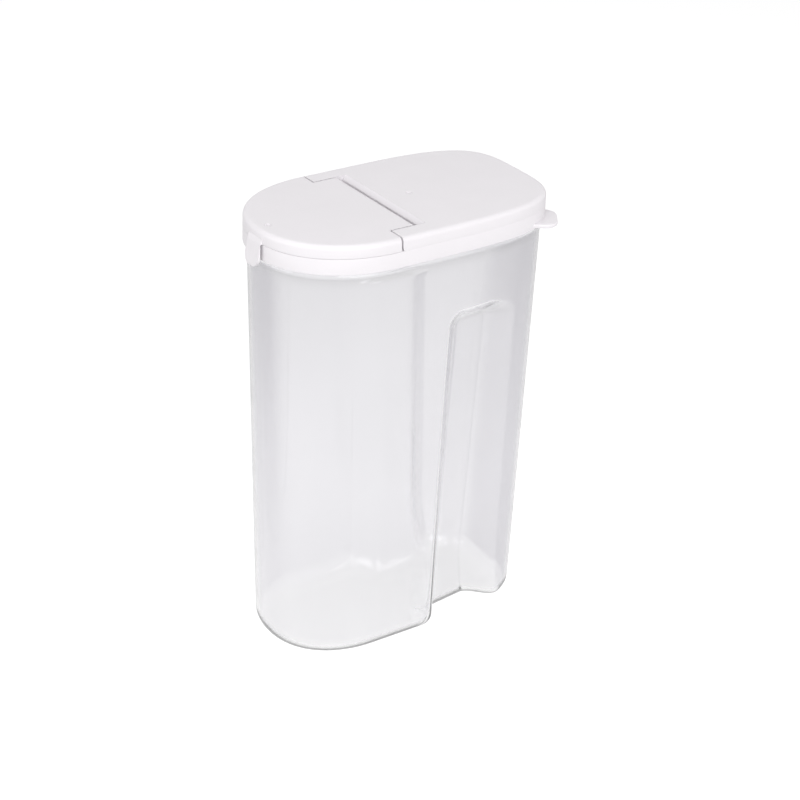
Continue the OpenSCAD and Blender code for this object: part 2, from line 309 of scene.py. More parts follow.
@dataclass(frozen=True)
class Nodes:
    """The shader nodes of a material or of the surroundings.

    Attributes:
        tree: The node tree that holds them.
    """

    tree: bpy.types.NodeTree

    def link(self, source: Socket, socket: Socket) -> None:
        """Links one socket to another."""
        self.tree.links.new(source, socket)

    def feed(self, value: Value, socket: Socket) -> None:
        """Links a socket to another one, or sets it to a number or colour.

        Args:
            value: The other socket, the number or the colour.
            socket: The socket that gets it.
        """
        if isinstance(value, Socket):
            self.link(value, socket)
        else:
            socket.default_value = value

    def show(self, shader: Socket) -> None:
        """Makes a shader the one that the material shows."""
        self.link(shader, self.tree.nodes["Material Output"].inputs["Surface"])

    def add(self, kind: str, **values: object) -> bpy.types.Node:
        """Adds a node.

        Args:
            kind: The node's type.
            **values: Its own settings, by name.

        Returns:
            The new node.
        """
        node = self.tree.nodes.new(kind)
        for name, value in values.items():
            setattr(node, name, value)
        return node

    def reckon(self, operation: str, first: Value, second: Value = 0) -> Socket:
        """Works out one value from two.

        Args:
            operation: What is worked out, by the name that the node gives it.
            first: The first value.
            second: The second value, where the operation has one.

        Returns:
            The result.
        """
        node = self.add("ShaderNodeMath", operation=operation)
        self.feed(first, node.inputs[0])
        self.feed(second, node.inputs[1])
        return node.outputs["Value"]

    def remap(self, value: Value, source: Span, target: Span = (0, 1), kind: str = "LINEAR") -> Socket:
        """Maps a value from one range to another, and keeps it within that.

        Args:
            value: The value.
            source: The range that it comes from.
            target: The range that it goes to.
            kind: How it runs in between.

        Returns:
            The mapped value.
        """
        node = self.add("ShaderNodeMapRange", interpolation_type=kind)
        for name, end in zip(("From Min", "From Max", "To Min", "To Max"), (*source, *target)):
            node.inputs[name].default_value = end
        self.feed(value, node.inputs["Value"])
        return node.outputs["Result"]

    def mix(self, share: Value, first: Value, second: Value, kind: str = "MIX") -> Socket:
        """Mixes two colours.

        Args:
            share: The share of the second colour.
            first: The first colour.
            second: The second colour.
            kind: How they are mixed.

        Returns:
            The mixed colour.
        """
        node = self.add("ShaderNodeMix", data_type="RGBA", blend_type=kind)
        for name, value in (("Factor", share), ("A", first), ("B", second)):
            self.feed(value, node.inputs[name])
        return node.outputs["Result"]

    def place(self) -> Socket:
        """The place on the piece, in metres."""
        return self.add("ShaderNodeTexCoord").outputs["Object"]

    def axes(self, vector: Socket) -> bpy.types.NodeOutputs:
        """Splits a vector.

        Args:
            vector: The vector.

        Returns:
            Its X, Y and Z, by name.
        """
        node = self.add("ShaderNodeSeparateXYZ")
        self.link(vector, node.inputs["Vector"])
        return node.outputs

    def noise(self, size: float, detail: float) -> Socket:
        """Adds noise of a given size, which mostly stays within NOISE_SPAN.

        Args:
            size: The noise's size in millimetres.
            detail: How many finer layers it has.

        Returns:
            The noise.
        """
        node = self.add("ShaderNodeTexNoise")
        self.link(self.place(), node.inputs["Vector"])
        node.inputs["Scale"].default_value = 1 / (size * MM)
        node.inputs["Detail"].default_value = detail
        return node.outputs["Fac"]


def new_material(name: str) -> tuple[bpy.types.Material, Nodes, bpy.types.Node]:
    """Makes a plain material.

    Args:
        name: The material's name.

    Returns:
        The material, its nodes and its shader.
    """
    made = bpy.data.materials.new(name)
    made.use_nodes = True
    return made, Nodes(made.node_tree), made.node_tree.nodes["Principled BSDF"]


@dataclass(frozen=True)
class Grain:
    """A fine unevenness of a moulded surface.

    Attributes:
        size: Its size across the surface, in millimetres.
        depth: Its depth in millimetres.
        strength: The share of it that shows.
    """

    size: float
    depth: float
    strength: float

    def press(self, nodes: Nodes, height: Socket, shader: bpy.types.Node) -> bpy.types.Node:
        """Presses the grain into a shader's surface.

        Args:
            nodes: The material's nodes.
            height: The noise that gives the grain its height.
            shader: The shader.

        Returns:
            The node that presses it in.
        """
        bump = nodes.add("ShaderNodeBump")
        bump.inputs["Strength"].default_value = self.strength
        bump.inputs["Distance"].default_value = self.depth * MM
        nodes.link(height, bump.inputs["Height"])
        nodes.link(bump.outputs["Normal"], shader.inputs["Normal"])
        return bump


@dataclass(frozen=True)
class SatinPlastic:
    """White moulded plastic with a fine spark texture.

    Attributes:
        name: The material's name.
        colour: Its base colour.
        rough: Least and most roughness.
        grain: Its fine texture.
        ior: Its index of refraction.
        mottle: Size in millimetres of its broad, faint unevenness in colour.
        mottle_share: The share of its colour where that is deepest.
        edge: Radius of its rounded edges in millimetres.
        edge_samples: How finely those are worked out.
        crevice: How far a crevice is looked into for its painted shade, in millimetres.
        crevice_span: How open a crevice is where its painted shade is darkest and where it is no longer
            dark.
        crevice_shade_share: The share of its colour that the darkest crevice keeps under the painted shade.
        crevice_samples: How finely crevices are worked out.
    """

    name: str
    colour: Colour
    rough: Span
    grain: Grain
    ior: float = 1.49
    mottle: float = 18
    mottle_share: float = 0.985
    edge: float = 0.4
    edge_samples: int = 6
    crevice: float = 2
    crevice_span: Span = (0.02, 0.2)
    crevice_shade_share: float = 0.75
    crevice_samples: int = 8

    def _colour(self, nodes: Nodes) -> Socket:
        """The faintly mottled colour, with painted shade that darkens its crevices, seams and slits.

        Args:
            nodes: The material's nodes.

        Returns:
            The colour.
        """
        mottle = nodes.remap(nodes.noise(self.mottle, BROAD_DETAIL), NOISE_SPAN)
        deep = tuple(self.mottle_share * part for part in self.colour)
        colour = nodes.mix(mottle, (*deep, 1), (*self.colour, 1))
        # Painted shade: ambient occlusion darkens the colour in crevices, seams and slits.
        openness = nodes.add("ShaderNodeAmbientOcclusion", samples=self.crevice_samples)
        openness.inputs["Distance"].default_value = self.crevice * MM
        kept = nodes.remap(openness.outputs["AO"], self.crevice_span, (self.crevice_shade_share, 1))
        return nodes.mix(1, colour, kept, "MULTIPLY")

    def material(self) -> bpy.types.Material:
        """Makes the material.

        Returns:
            The new material.
        """
        made, nodes, shader = new_material(self.name)
        fine = nodes.noise(self.grain.size, FINE_DETAIL)
        shader.inputs["IOR"].default_value = self.ior
        nodes.link(self._colour(nodes), shader.inputs["Base Color"])
        nodes.link(nodes.remap(fine, NOISE_SPAN, self.rough), shader.inputs["Roughness"])
        edges = nodes.add("ShaderNodeBevel", samples=self.edge_samples)
        edges.inputs["Radius"].default_value = self.edge * MM
        nodes.link(edges.outputs["Normal"], self.grain.press(nodes, fine, shader).inputs["Normal"])
        return made


@dataclass(frozen=True)
class ClearPlastic:
    """Clear polished plastic, which lets lamps through.

    Attributes:
        name: The material's name.
        colour: Tint of a wall that is seen square on.
        edge_depth_and_shade_colour: Tint of a wall that is seen at a low angle, where light runs further
            through it; beyond that it is deepened as painted shade for the darker surroundings that the wall
            reflects there.
        rough: Least and most roughness.
        flow: The broad unevenness of the moulded wall.
        ior: Its index of refraction.
        edge_span: How far a wall is turned away where that edge tint starts and where it is full.
        flat_light_tint: Tint of faces that lie flat, paler than the walls' tint, so that they are painted
            lighter.
        low_light_heights: Heights in metres over which the painted edge shade grows; below them the wall is
            painted lighter, for the bright floor that it reflects.
        low_shade_share: The share of the painted edge shade at the lower height.
        grip_end_full_shade: Places along X in metres over which the painted edge shade grows to full at
            every height, so that the grip end is not painted lighter low down.
        passed: How much light it passes to what is behind it.
        most_depth: How often light is bent before it passes straight on.
    """

    name: str
    colour: Colour
    edge_depth_and_shade_colour: Colour
    rough: Span
    flow: Grain
    ior: float = 1.5
    edge_span: Span = (0.24, 0.46)
    flat_light_tint: Colour = (0.99, 0.99, 0.99)
    low_light_heights: Span = (0.03, 0.19)
    low_shade_share: float = 0.3
    grip_end_full_shade: Span = (0.035, 0.06)
    passed: Colour = (0.97, 0.97, 0.97)
    most_depth: float = 5.5

    def _tint(self, nodes: Nodes) -> Socket:
        """The tint, which deepens where an upright wall turns away, in part as painted shade; it is painted
        lighter low down and on flat faces.

        Args:
            nodes: The material's nodes.

        Returns:
            The tint.
        """
        facing = nodes.add("ShaderNodeLayerWeight").outputs["Facing"]
        normal = nodes.add("ShaderNodeNewGeometry").outputs["Normal"]
        lying = nodes.reckon("ABSOLUTE", nodes.axes(normal)["Z"])
        # Painted shade, with a real share from the longer path: walls that turn away get a deeper tint.
        turned = nodes.reckon("MULTIPLY", facing, nodes.reckon("SUBTRACT", 1, lying))
        edge = nodes.remap(turned, self.edge_span, kind="SMOOTHSTEP")
        place = nodes.axes(nodes.place())
        # Painted light: the edge shade is weaker low down, for the bright floor reflected there, except
        # towards the grip end.
        height_shade_share = nodes.remap(place["Z"], self.low_light_heights, (self.low_shade_share, 1))
        share = nodes.reckon("MAXIMUM", height_shade_share, nodes.remap(place["X"], self.grip_end_full_shade))
        edge_depth_and_shade = nodes.reckon("MULTIPLY", edge, share)
        upright = nodes.mix(edge_depth_and_shade, (*self.colour, 1), (*self.edge_depth_and_shade_colour, 1))
        # Painted light: faces that lie flat take a paler tint, which lights the bottom edge like a
        # highlight.
        return nodes.mix(lying, upright, (*self.flat_light_tint, 1))

    def _straight_on(self, nodes: Nodes) -> Socket:
        """Tells the light that the plastic passes without bending it.

        Args:
            nodes: The material's nodes.

        Returns:
            1 for lamps' and scattered light and for light that was bent often, and 0 for other light.
        """
        path = nodes.add("ShaderNodeLightPath").outputs
        from_lamps = nodes.reckon("MAXIMUM", path["Is Shadow Ray"], path["Is Diffuse Ray"])
        trapped = nodes.reckon("GREATER_THAN", path["Ray Depth"], self.most_depth)
        return nodes.reckon("MAXIMUM", from_lamps, trapped)

    def material(self) -> bpy.types.Material:
        """Makes the material.

        Returns:
            The new material.
        """
        made, nodes, shader = new_material(self.name)
        shader.inputs["Transmission Weight"].default_value = 1
        shader.inputs["IOR"].default_value = self.ior
        broad = nodes.noise(self.flow.size, FINE_DETAIL)
        nodes.link(self._tint(nodes), shader.inputs["Base Color"])
        nodes.link(nodes.remap(broad, NOISE_SPAN, self.rough), shader.inputs["Roughness"])
        self.flow.press(nodes, broad, shader)
        passing = nodes.add("ShaderNodeBsdfTransparent")
        passing.inputs["Color"].default_value = (*self.passed, 1)
        mix = nodes.add("ShaderNodeMixShader")
        nodes.link(self._straight_on(nodes), mix.inputs["Fac"])
        nodes.link(shader.outputs["BSDF"], mix.inputs[1])
        nodes.link(passing.outputs["BSDF"], mix.inputs[2])
        nodes.show(mix.outputs["Shader"])
        return made


WHITE = SatinPlastic("white_satin_plastic", (0.79, 0.765, 0.79), (0.38, 0.5), Grain(0.35, 0.02, 0.35))
CLEAR = ClearPlastic(
    "clear_plastic", (0.935, 0.93, 0.945), (0.72, 0.71, 0.74), (0.03, 0.08), Grain(14, 0.06, 0.25)
)


@dataclass(frozen=True)
class LidPlan:
    """The lid's plan: two superellipse ends and short straight sides between them.

    Attributes:
        half_width: Half the width across the straight sides.
        half_length: Half the length from the spout end to the grip end.
        front_curve: Length of the curved spout end.
        rear_curve: Length of the curved grip end.
        front_power: Superellipse exponent of the spout end.
        rear_power: Superellipse exponent of the grip end.
        side_steps: Chords of each side of the grip end, unless its places are given.
        end_steps: Chords of the rest of the grip end, on each side.
        front_steps: Chords of the spout end, on each side.
    """

    half_width: float
    half_length: float
    front_curve: float = 55.5
    rear_curve: float = 87.2
    front_power: float = 2.12
    rear_power: float = 3.65
    side_steps: int = 60
    end_steps: int = 40
    front_steps: int = 90

    @property
    def front_straight(self) -> float:
        """Where the straight sides end towards the spout."""
        return self.front_curve - self.half_length

    @property
    def rear_straight(self) -> float:
        """Where the straight sides end towards the grip."""
        return self.half_length - self.rear_curve

    @property
    def turn(self) -> float:
        """Share of its half axes at which the grip end's side turns into its end."""
        return 0.5 ** (1 / self.rear_power)

    @property
    def turn_x(self) -> float:
        """Where that turn lies along X."""
        return self.rear_straight + self.rear_curve * self.turn

    @staticmethod
    def _with_normal(
        u: np.ndarray, v: np.ndarray, half_axes: Span, power: float, place: float, way: int
    ) -> np.ndarray:
        """Points of a superellipse, each followed by its outward normal.

        Args:
            u: Distances along X from the superellipse's centre.
            v: Distances along Y.
            half_axes: The two half axes.
            power: The exponent.
            place: Where the centre lies along X.
            way: 1 if u points to the grip end, and -1 if it points to the spout.

        Returns:
            One row a point: x, y, and the normal's x and y.
        """
        across_x = way * (u / half_axes[0]) ** (power - 1) / half_axes[0]
        across_y = (v / half_axes[1]) ** (power - 1) / half_axes[1]
        length = np.hypot(across_x, across_y)
        return np.column_stack([place + way * u, v, across_x / length, across_y / length])

    def loop(self, side: np.ndarray, end_steps: int, front_steps: int) -> np.ndarray:
        """The whole plan, from the grip end round by +Y.

        Args:
            side: Places along X at which the grip end's side is drawn.
            end_steps: Chords of the rest of the grip end, on each side.
            front_steps: Chords of the spout end, on each side.

        Returns:
            One row a point: x, y, and the outward normal's x and y.
        """
        half_axes = (self.rear_curve, self.half_width)
        share = 1 / self.rear_power
        u = side - self.rear_straight
        v = self.half_width * (1 - np.clip(u / self.rear_curve, 0, 1) ** self.rear_power) ** share
        along = self._with_normal(u, v, half_axes, self.rear_power, self.rear_straight, 1)
        v = self.half_width * self.turn * np.linspace(0, 1, end_steps + 1)
        u = self.rear_curve * (1 - (v / self.half_width) ** self.rear_power) ** share
        end = self._with_normal(u, v, half_axes, self.rear_power, self.rear_straight, 1)
        half_axes = (self.front_curve, self.half_width)
        turn = arc_steps(front_steps)[::-1]
        share = 2 / self.front_power
        u = self.front_curve * np.clip(np.cos(turn), 0, 1) ** share
        v = self.half_width * np.sin(turn) ** share
        front = self._with_normal(u, v, half_axes, self.front_power, self.front_straight, -1)
        half = np.concatenate([end, along[::-1], front])
        mirrored = half[-2:0:-1] * (1, -1, 1, -1)
        return np.concatenate([half, mirrored])

    def outline(self, inset: float) -> np.ndarray:
        """The plan drawn in along its normals.

        Args:
            inset: How far it is drawn in.

        Returns:
            The outline's points.
        """
        side = np.linspace(self.rear_straight, self.turn_x, self.side_steps, endpoint=False)
        loop = self.loop(side, self.end_steps, self.front_steps)
        return loop[:, :2] - loop[:, 2:] * inset

    def ring(self, inset: float, height: float) -> np.ndarray:
        """The plan drawn in by an inset, as a flat ring at a height."""
        return level(self.outline(inset), height)


@dataclass(frozen=True)
class Container:
    """The clear container: a drafted wall with a grip recess in each long side.

    Attributes:
        plan: The lid's plan, which the wall follows.
        height: Height of the rim.
        rim_inset: How far the rim lies inside the lid's plan.
        wall: Thickness of the wall.
        floor: Thickness of the floor.
        draft: How much the wall leans in from the rim to the floor.
        foot_r: Radius of the outside edge round the floor.
        bead_z: Height of the bead round the wall.
        bead_h: Height of the bead's flat.
        bead_out: How far the bead stands out.
        bead_power: How full the bead's section is, where 1 is a sine and 0 a box.
        rim_edge: Radius of the rim's edges.
        recess_top: Height of the recesses' top edges.
        recess_front: Where the recesses' front edges stand along X.
        recess_back: Where their rear edges stand along X, above the flare.
        recess_flare: How much further back the rear edges stand at the floor.
        recess_flare_h: Height over which that flare fades out.
        recess_run: Width of the wall from an edge of a recess to its bottom.
        recess_rear_run: Width of that wall at the rear edge.
        recess_corner: Corner radius of the recesses in side view.
        recess_share: How far a recess's edge moves out for each millimetre further inside the wall.
        recess_taper: Widening of the waist per millimetre towards the spout.
        recess_lean: Widening of the waist per millimetre of height.
        waist: Half width left between the recesses at the rear edge, at floor level.
        line_gap: Least distance from one line of the mesh to the next.
        side_steps: Chords of each stretch of the grip end's side.
        end_steps: Chords of the rest of the grip end, on each side.
        front_steps: Chords of the spout end, on each side.
        level_steps: Rings of each stretch of the wall's height.
        foot_steps: Rings of the foot's rounding.
        rim_steps: Rings of the rim's rounding.
        bead_steps: Rings of the bead.
        sharp: The angle in degrees above which an edge stays sharp.
    """

    plan: LidPlan
    height: float
    rim_inset: float
    wall: float = 1.6
    floor: float = 2.2
    draft: float = 5.92
    foot_r: float = 12
    bead_z: float = 231.2
    bead_h: float = 1.2
    bead_out: float = 0.3
    bead_power: float = 0.7
    rim_edge: float = 0.5
    recess_top: float = 200.4
    recess_front: float = 7.2
    recess_back: float = 54
    recess_flare: float = 7
    recess_flare_h: float = 50
    recess_run: float = 10.5
    recess_rear_run: float = 19
    recess_corner: float = 12
    recess_share: float = 0.5
    recess_taper: float = 0.13
    recess_lean: float = 0.07
    waist: float = 21.5
    line_gap: float = 1
    side_steps: tuple[int, ...] = (5, 24, 14, 24, 12)
    end_steps: int = 26
    front_steps: int = 60
    level_steps: tuple[int, ...] = (10, 24, 30, 5)
    foot_steps: int = 12
    rim_steps: int = 4
    bead_steps: int = 8
    sharp: float = 50

    @property
    def bead_low(self) -> float:
        """Height at which the bead starts."""
        return self.bead_z - 2 * self.bead_out

    def wall_inset(self, z: np.ndarray | float) -> np.ndarray | float:
        """How far the wall lies inside the lid's plan at a height."""
        return self.rim_inset + self.draft * (self.height - z) / self.height

    def recess_rear(self, z: np.ndarray | float) -> np.ndarray | float:
        """Where the rear edge of each grip recess stands along X at a height."""
        return self.recess_back + self.recess_flare * np.maximum(0, 1 - z / self.recess_flare_h) ** 2

    def recess_in(self, x: np.ndarray, z: np.ndarray, grow: np.ndarray) -> np.ndarray:
        """How far points lie inside the rounded edge of a grip recess.

        Args:
            x: The points' places along X.
            z: Their heights.
            grow: How far the edge is moved outwards.

        Returns:
            The distances, which are negative outside the recess.
        """
        rear = (self.recess_rear(z) - x + grow) * self.recess_run / self.recess_rear_run
        u = np.minimum(x - self.recess_front + grow, rear)
        v = self.recess_top - z + grow
        r = self.recess_corner
        corner = r - np.hypot(r - u, r - v)
        return np.where((u < r) & (v < r), corner, np.minimum(u, v))

    def points(self, loop: np.ndarray, z: np.ndarray | float, inset: np.ndarray | float) -> np.ndarray:
        """Points of the wall.

        Args:
            loop: Rows of the lid's plan.
            z: The points' heights.
            inset: How far they lie inside the wall's outer face.

        Returns:
            The points, one row each.
        """
        z = np.broadcast_to(z, len(loop))
        inset = np.broadcast_to(inset, len(loop))
        place = loop[:, :2] - loop[:, 2:] * (self.wall_inset(z) + inset)[:, None]
        x, y = place[:, 0], np.abs(place[:, 1])
        bottom = self.waist + self.recess_taper * (self.recess_back - x) + self.recess_lean * z - inset
        share = ease(self.recess_in(x, z, inset * self.recess_share) / self.recess_run)
        drawn_in = y - np.maximum(0, y - bottom) * share
        y = np.where(x < self.plan.front_straight, y, drawn_in)
        return np.column_stack([x, np.sign(place[:, 1]) * y, z])

    def loop(self, z: float, inset: float) -> np.ndarray:
        """The lid's plan, with close lines where the recess's walls run.

        Args:
            z: The height that it is drawn for.
            inset: How far inside the wall's outer face it is drawn for.

        Returns:
            One row a point: x, y, and the outward normal's x and y.
        """
        front = self.recess_front - inset * self.recess_share
        rear = min(self.recess_rear(z) + inset * self.recess_share, self.plan.turn_x - self.line_gap)
        stops = (
            self.plan.rear_straight,
            front,
            front + self.recess_run,
            rear - self.recess_rear_run,
            rear,
            self.plan.turn_x,
        )
        return self.plan.loop(stretches(stops, self.side_steps), self.end_steps, self.front_steps)

    def ring(self, z: float, inset: float) -> np.ndarray:
        """A ring of the wall at a height and an inset."""
        return self.points(self.loop(z, inset), z, inset)

    def foot(self, thickness: float, low: float) -> list[np.ndarray]:
        """Rings of the foot's rounded edge.

        Args:
            thickness: How far the surface lies inside the outer face.
            low: The height at which the rounding starts.

        Returns:
            The rings, from the lowest up.
        """
        rings = []
        radius = self.foot_r - thickness
        for inward, up in quarter_round(self.foot_steps):
            loop = self.loop(self.foot_r * up, self.foot_r * inward)
            rings.append(self.points(loop, low + radius * up, thickness + radius * inward))
        return rings

    def levels(self) -> np.ndarray:
        """Chooses where the wall is drawn between its foot and its bead.

        Returns:
            The heights.
        """
        stops = (
            self.foot_r + self.line_gap,
            self.recess_flare_h,
            self.recess_top - self.recess_corner - 2 * self.line_gap,
            self.recess_top + 2 * self.line_gap,
            self.bead_low,
        )
        return stretches(stops, self.level_steps)

    def bead(self) -> list[np.ndarray]:
        """Draws the bead.

        Returns:
            Its rings, from the lowest up.
        """
        shares = np.linspace(0, 1, self.bead_steps + 1)
        run = self.bead_h + 4 * self.bead_out
        out = [self.bead_out * math.sin(math.pi * share) ** self.bead_power for share in shares]
        return [self.ring(self.bead_low + run * share, -width) for share, width in zip(shares, out)]

    def rim(self, inset: float, way: int) -> list[np.ndarray]:
        """Rings of one of the rim's rounded edges.

        Args:
            inset: How far the wall's face lies inside its outer face.
            way: 1 for the outer edge, and -1 for the inner one.

        Returns:
            The rings, from the lowest up.
        """
        rings = []
        for down, inward in quarter_round(self.rim_steps):
            height = self.height - self.rim_edge * down
            rings.append(self.ring(height, inset + way * self.rim_edge * inward))
        return rings

    def build(self) -> Solid:
        """Builds the container as one closed wall.

        Returns:
            The new piece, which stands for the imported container.
        """
        outer = [*self.foot(0, 0), *(self.ring(z, 0) for z in self.levels()), *self.bead(), *self.rim(0, 1)]
        inner = [
            *self.foot(self.wall, self.floor),
            *(self.ring(z, self.wall) for z in self.levels()),
            *self.rim(self.wall, -1),
        ]
        piece = skin("container_shell", outer + inner[::-1])
        dress(piece, CLEAR.material(), self.sharp)
        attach(piece, "container")
        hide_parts("container")
        return piece


@dataclass(frozen=True)
class Closure:
    """Sizes and shapes that the lid and the flap share, in millimetres.

    Attributes:
        plan: The lid's plan.
        rim: Height of the container's rim.
        skirt_t: Thickness of the skirts.
        top_t: Thickness of the top plates.
        top_edge: Radius of the top edge.
        shoulder_t: Thickness of the shoulder over the container's rim.
        rim_gap: Gap from the rim to the shoulder.
        seam_gap: Gap from the shoulder to the flap's skirt.
        seam_edge: Radius of the two edges along that seam.
        flap_gap: Gap round the flap's other edges.
        skirt_gap: Gap from the container to the skirt.
        skirt_h: Height of the lid's skirt, up to the top.
        flap_skirt: Height of the flap's skirt, up to the top.
        hinge_x: Where the hinge axis stands along X.
        roll_r: Radius of the flap's rounded rear edge.
        pin_r: Radius of the hinge pins.
        pin_gap: Gap round them.
        ear_w: Width of each ear.
        ear_r: Radius of the ears' front faces round the hinge axis.
        cheek_t: Thickness of the cheeks that hold the pins.
        deck_w: Width of the deck round the pour opening.
        pour_corner: Corner radius of the pour opening.
        gate_r: Radius of the round moulding marks.
        gate_h: Their depth.
        gate_curve: Shares of that depth, inward and down, at points of their section.
        edge: Radius of small edges.
        bite: How far joined solids reach into each other.
        over: How far a cutting solid stands past what it cuts.
        far: A distance past everything.
        hinge_steps: Chords of circles round the hinge axis.
        ear_steps: Chords of the circles that the ears' faces follow.
        gate_steps: Chords of the round moulding marks.
        seam_steps: Rings of the rounding along the seam.
        top_steps: Rings of the rounding of the top edge.
        pour_steps: Chords of the pour opening's corners.
        sharp: The angle in degrees above which an edge stays sharp.
    """

    plan: LidPlan
    rim: float
    skirt_t: float = 1.5
    top_t: float = 1.8
    top_edge: float = 2.7
    shoulder_t: float = 1.3
    rim_gap: float = 0.3
    seam_gap: float = 0.12
    seam_edge: float = 0.1
    flap_gap: float = 0.95
    skirt_gap: float = 0.33
    skirt_h: float = 16
    flap_skirt: float = 7.08
    hinge_x: float = -12.7
    roll_r: float = 3
    pin_r: float = 1.6
    pin_gap: float = 0.08
    ear_w: float = 11
    ear_r: float = 12.6
    cheek_t: float = 2.4
    deck_w: float = 8.5
    pour_corner: float = 6
    gate_r: float = 1.7
    gate_h: float = 0.8
    gate_curve: tuple[Span, ...] = ((1, 1), (1 / 3, 0.7))
    edge: float = 0.35
    bite: float = 0.05
    over: float = 1
    far: float = 400
    hinge_steps: int = 96
    ear_steps: int = 180
    gate_steps: int = 48
    seam_steps: int = 3
    top_steps: int = 10
    pour_steps: int = 12
    sharp: float = 32

    @property
    def shoulder(self) -> float:
        """Height of the shoulder's lower face."""
        return self.rim + self.rim_gap

    @property
    def seam(self) -> float:
        """Height of the shoulder's upper face."""
        return self.shoulder + self.shoulder_t

    @property
    def flap_z(self) -> float:
        """Height of the flap's lower edge."""
        return self.seam + self.seam_gap

    @property
    def top(self) -> float:
        """Height of the top."""
        return self.flap_z + self.flap_skirt

    @property
    def plate(self) -> float:
        """Height of the top plates' lower faces."""
        return self.top - self.top_t

    @property
    def skirt(self) -> float:
        """Height of the skirt's lower edge."""
        return self.top - self.skirt_h

    @property
    def hinge_z(self) -> float:
        """Height of the hinge axis."""
        return self.top - self.roll_r

    @property
    def ear_y(self) -> float:
        """Where each ear's inner face stands along Y."""
        return self.plan.half_width - self.ear_w

    @property
    def pin_end(self) -> float:
        """Where each hinge pin ends along Y."""
        return self.ear_y + self.cheek_t

    @property
    def tail_y(self) -> float:
        """Half the width of the flap's tail."""
        return self.ear_y - self.flap_gap

    @property
    def pour_rear(self) -> float:
        """Where the pour opening ends beside the hinge."""
        return self.hinge_x - self.ear_r - self.flap_gap

    def hinge_bar(self, name: str, radius: float, half: float) -> Solid:
        """A round bar on the hinge axis, of a radius and half a length."""
        return bar(name, circle(self.hinge_x, self.hinge_z, radius, self.hinge_steps), -half, half)

    def ear_circle(self, grow: float) -> np.ndarray:
        """The circle that the ears' front faces follow, in X and Z, with its radius grown."""
        return circle(self.hinge_x, self.hinge_z, self.ear_r + grow, self.ear_steps)

    def capped(self, name: str, low: float) -> Solid:
        """The full plan with a rounded top edge, hollow below its top plate.

        Args:
            name: The solid's name.
            low: Height of its lower edge.

        Returns:
            The new solid.
        """
        rings = []
        for inward, up in quarter_round(self.seam_steps):
            rings.append(self.plan.ring(self.seam_edge * inward, low + self.seam_edge * up))
        for down, inward in quarter_round(self.top_steps):
            rings.append(self.plan.ring(self.top_edge * inward, self.top - self.top_edge * down))
        hollow = prism("hollow", self.plan.outline(self.skirt_t), low - self.over, self.plate)
        return change(skin(name, rings), [hollow], Change.REMOVE)

    def gate(self, x: float) -> Solid:
        """The hollow of a round moulding mark in the top.

        Args:
            x: Where its middle lies along X.

        Returns:
            The new solid.
        """
        section = [(self.gate_h * inward, self.top - self.gate_h * down) for inward, down in self.gate_curve]
        section.append((0, self.top + self.bite))
        rings = [level(circle(x, 0, self.gate_r - inset, self.gate_steps), z) for inset, z in section]
        return skin("gate", rings)

    def pour_shape(self, name: str, gap: float, low: float, high: float) -> Solid:
        """The pour opening's shape, drawn in by a gap.

        Args:
            name: The solid's name.
            gap: How far the shape is drawn in.
            low: Its lower height.
            high: Its upper height.

        Returns:
            The new solid.
        """
        rear = self.pour_rear - gap
        side = self.plan.half_width - self.deck_w - gap
        corner = self.pour_corner - gap / 2
        corners = [(-self.far, -side, 0), (rear, -side, corner), (rear, side, corner), (-self.far, side, 0)]
        limit = prism("limit", rounded(corners, self.pour_steps), low - self.over, high + self.over)
        return change(prism(name, self.plan.outline(self.deck_w + gap), low, high), [limit], Change.KEEP)


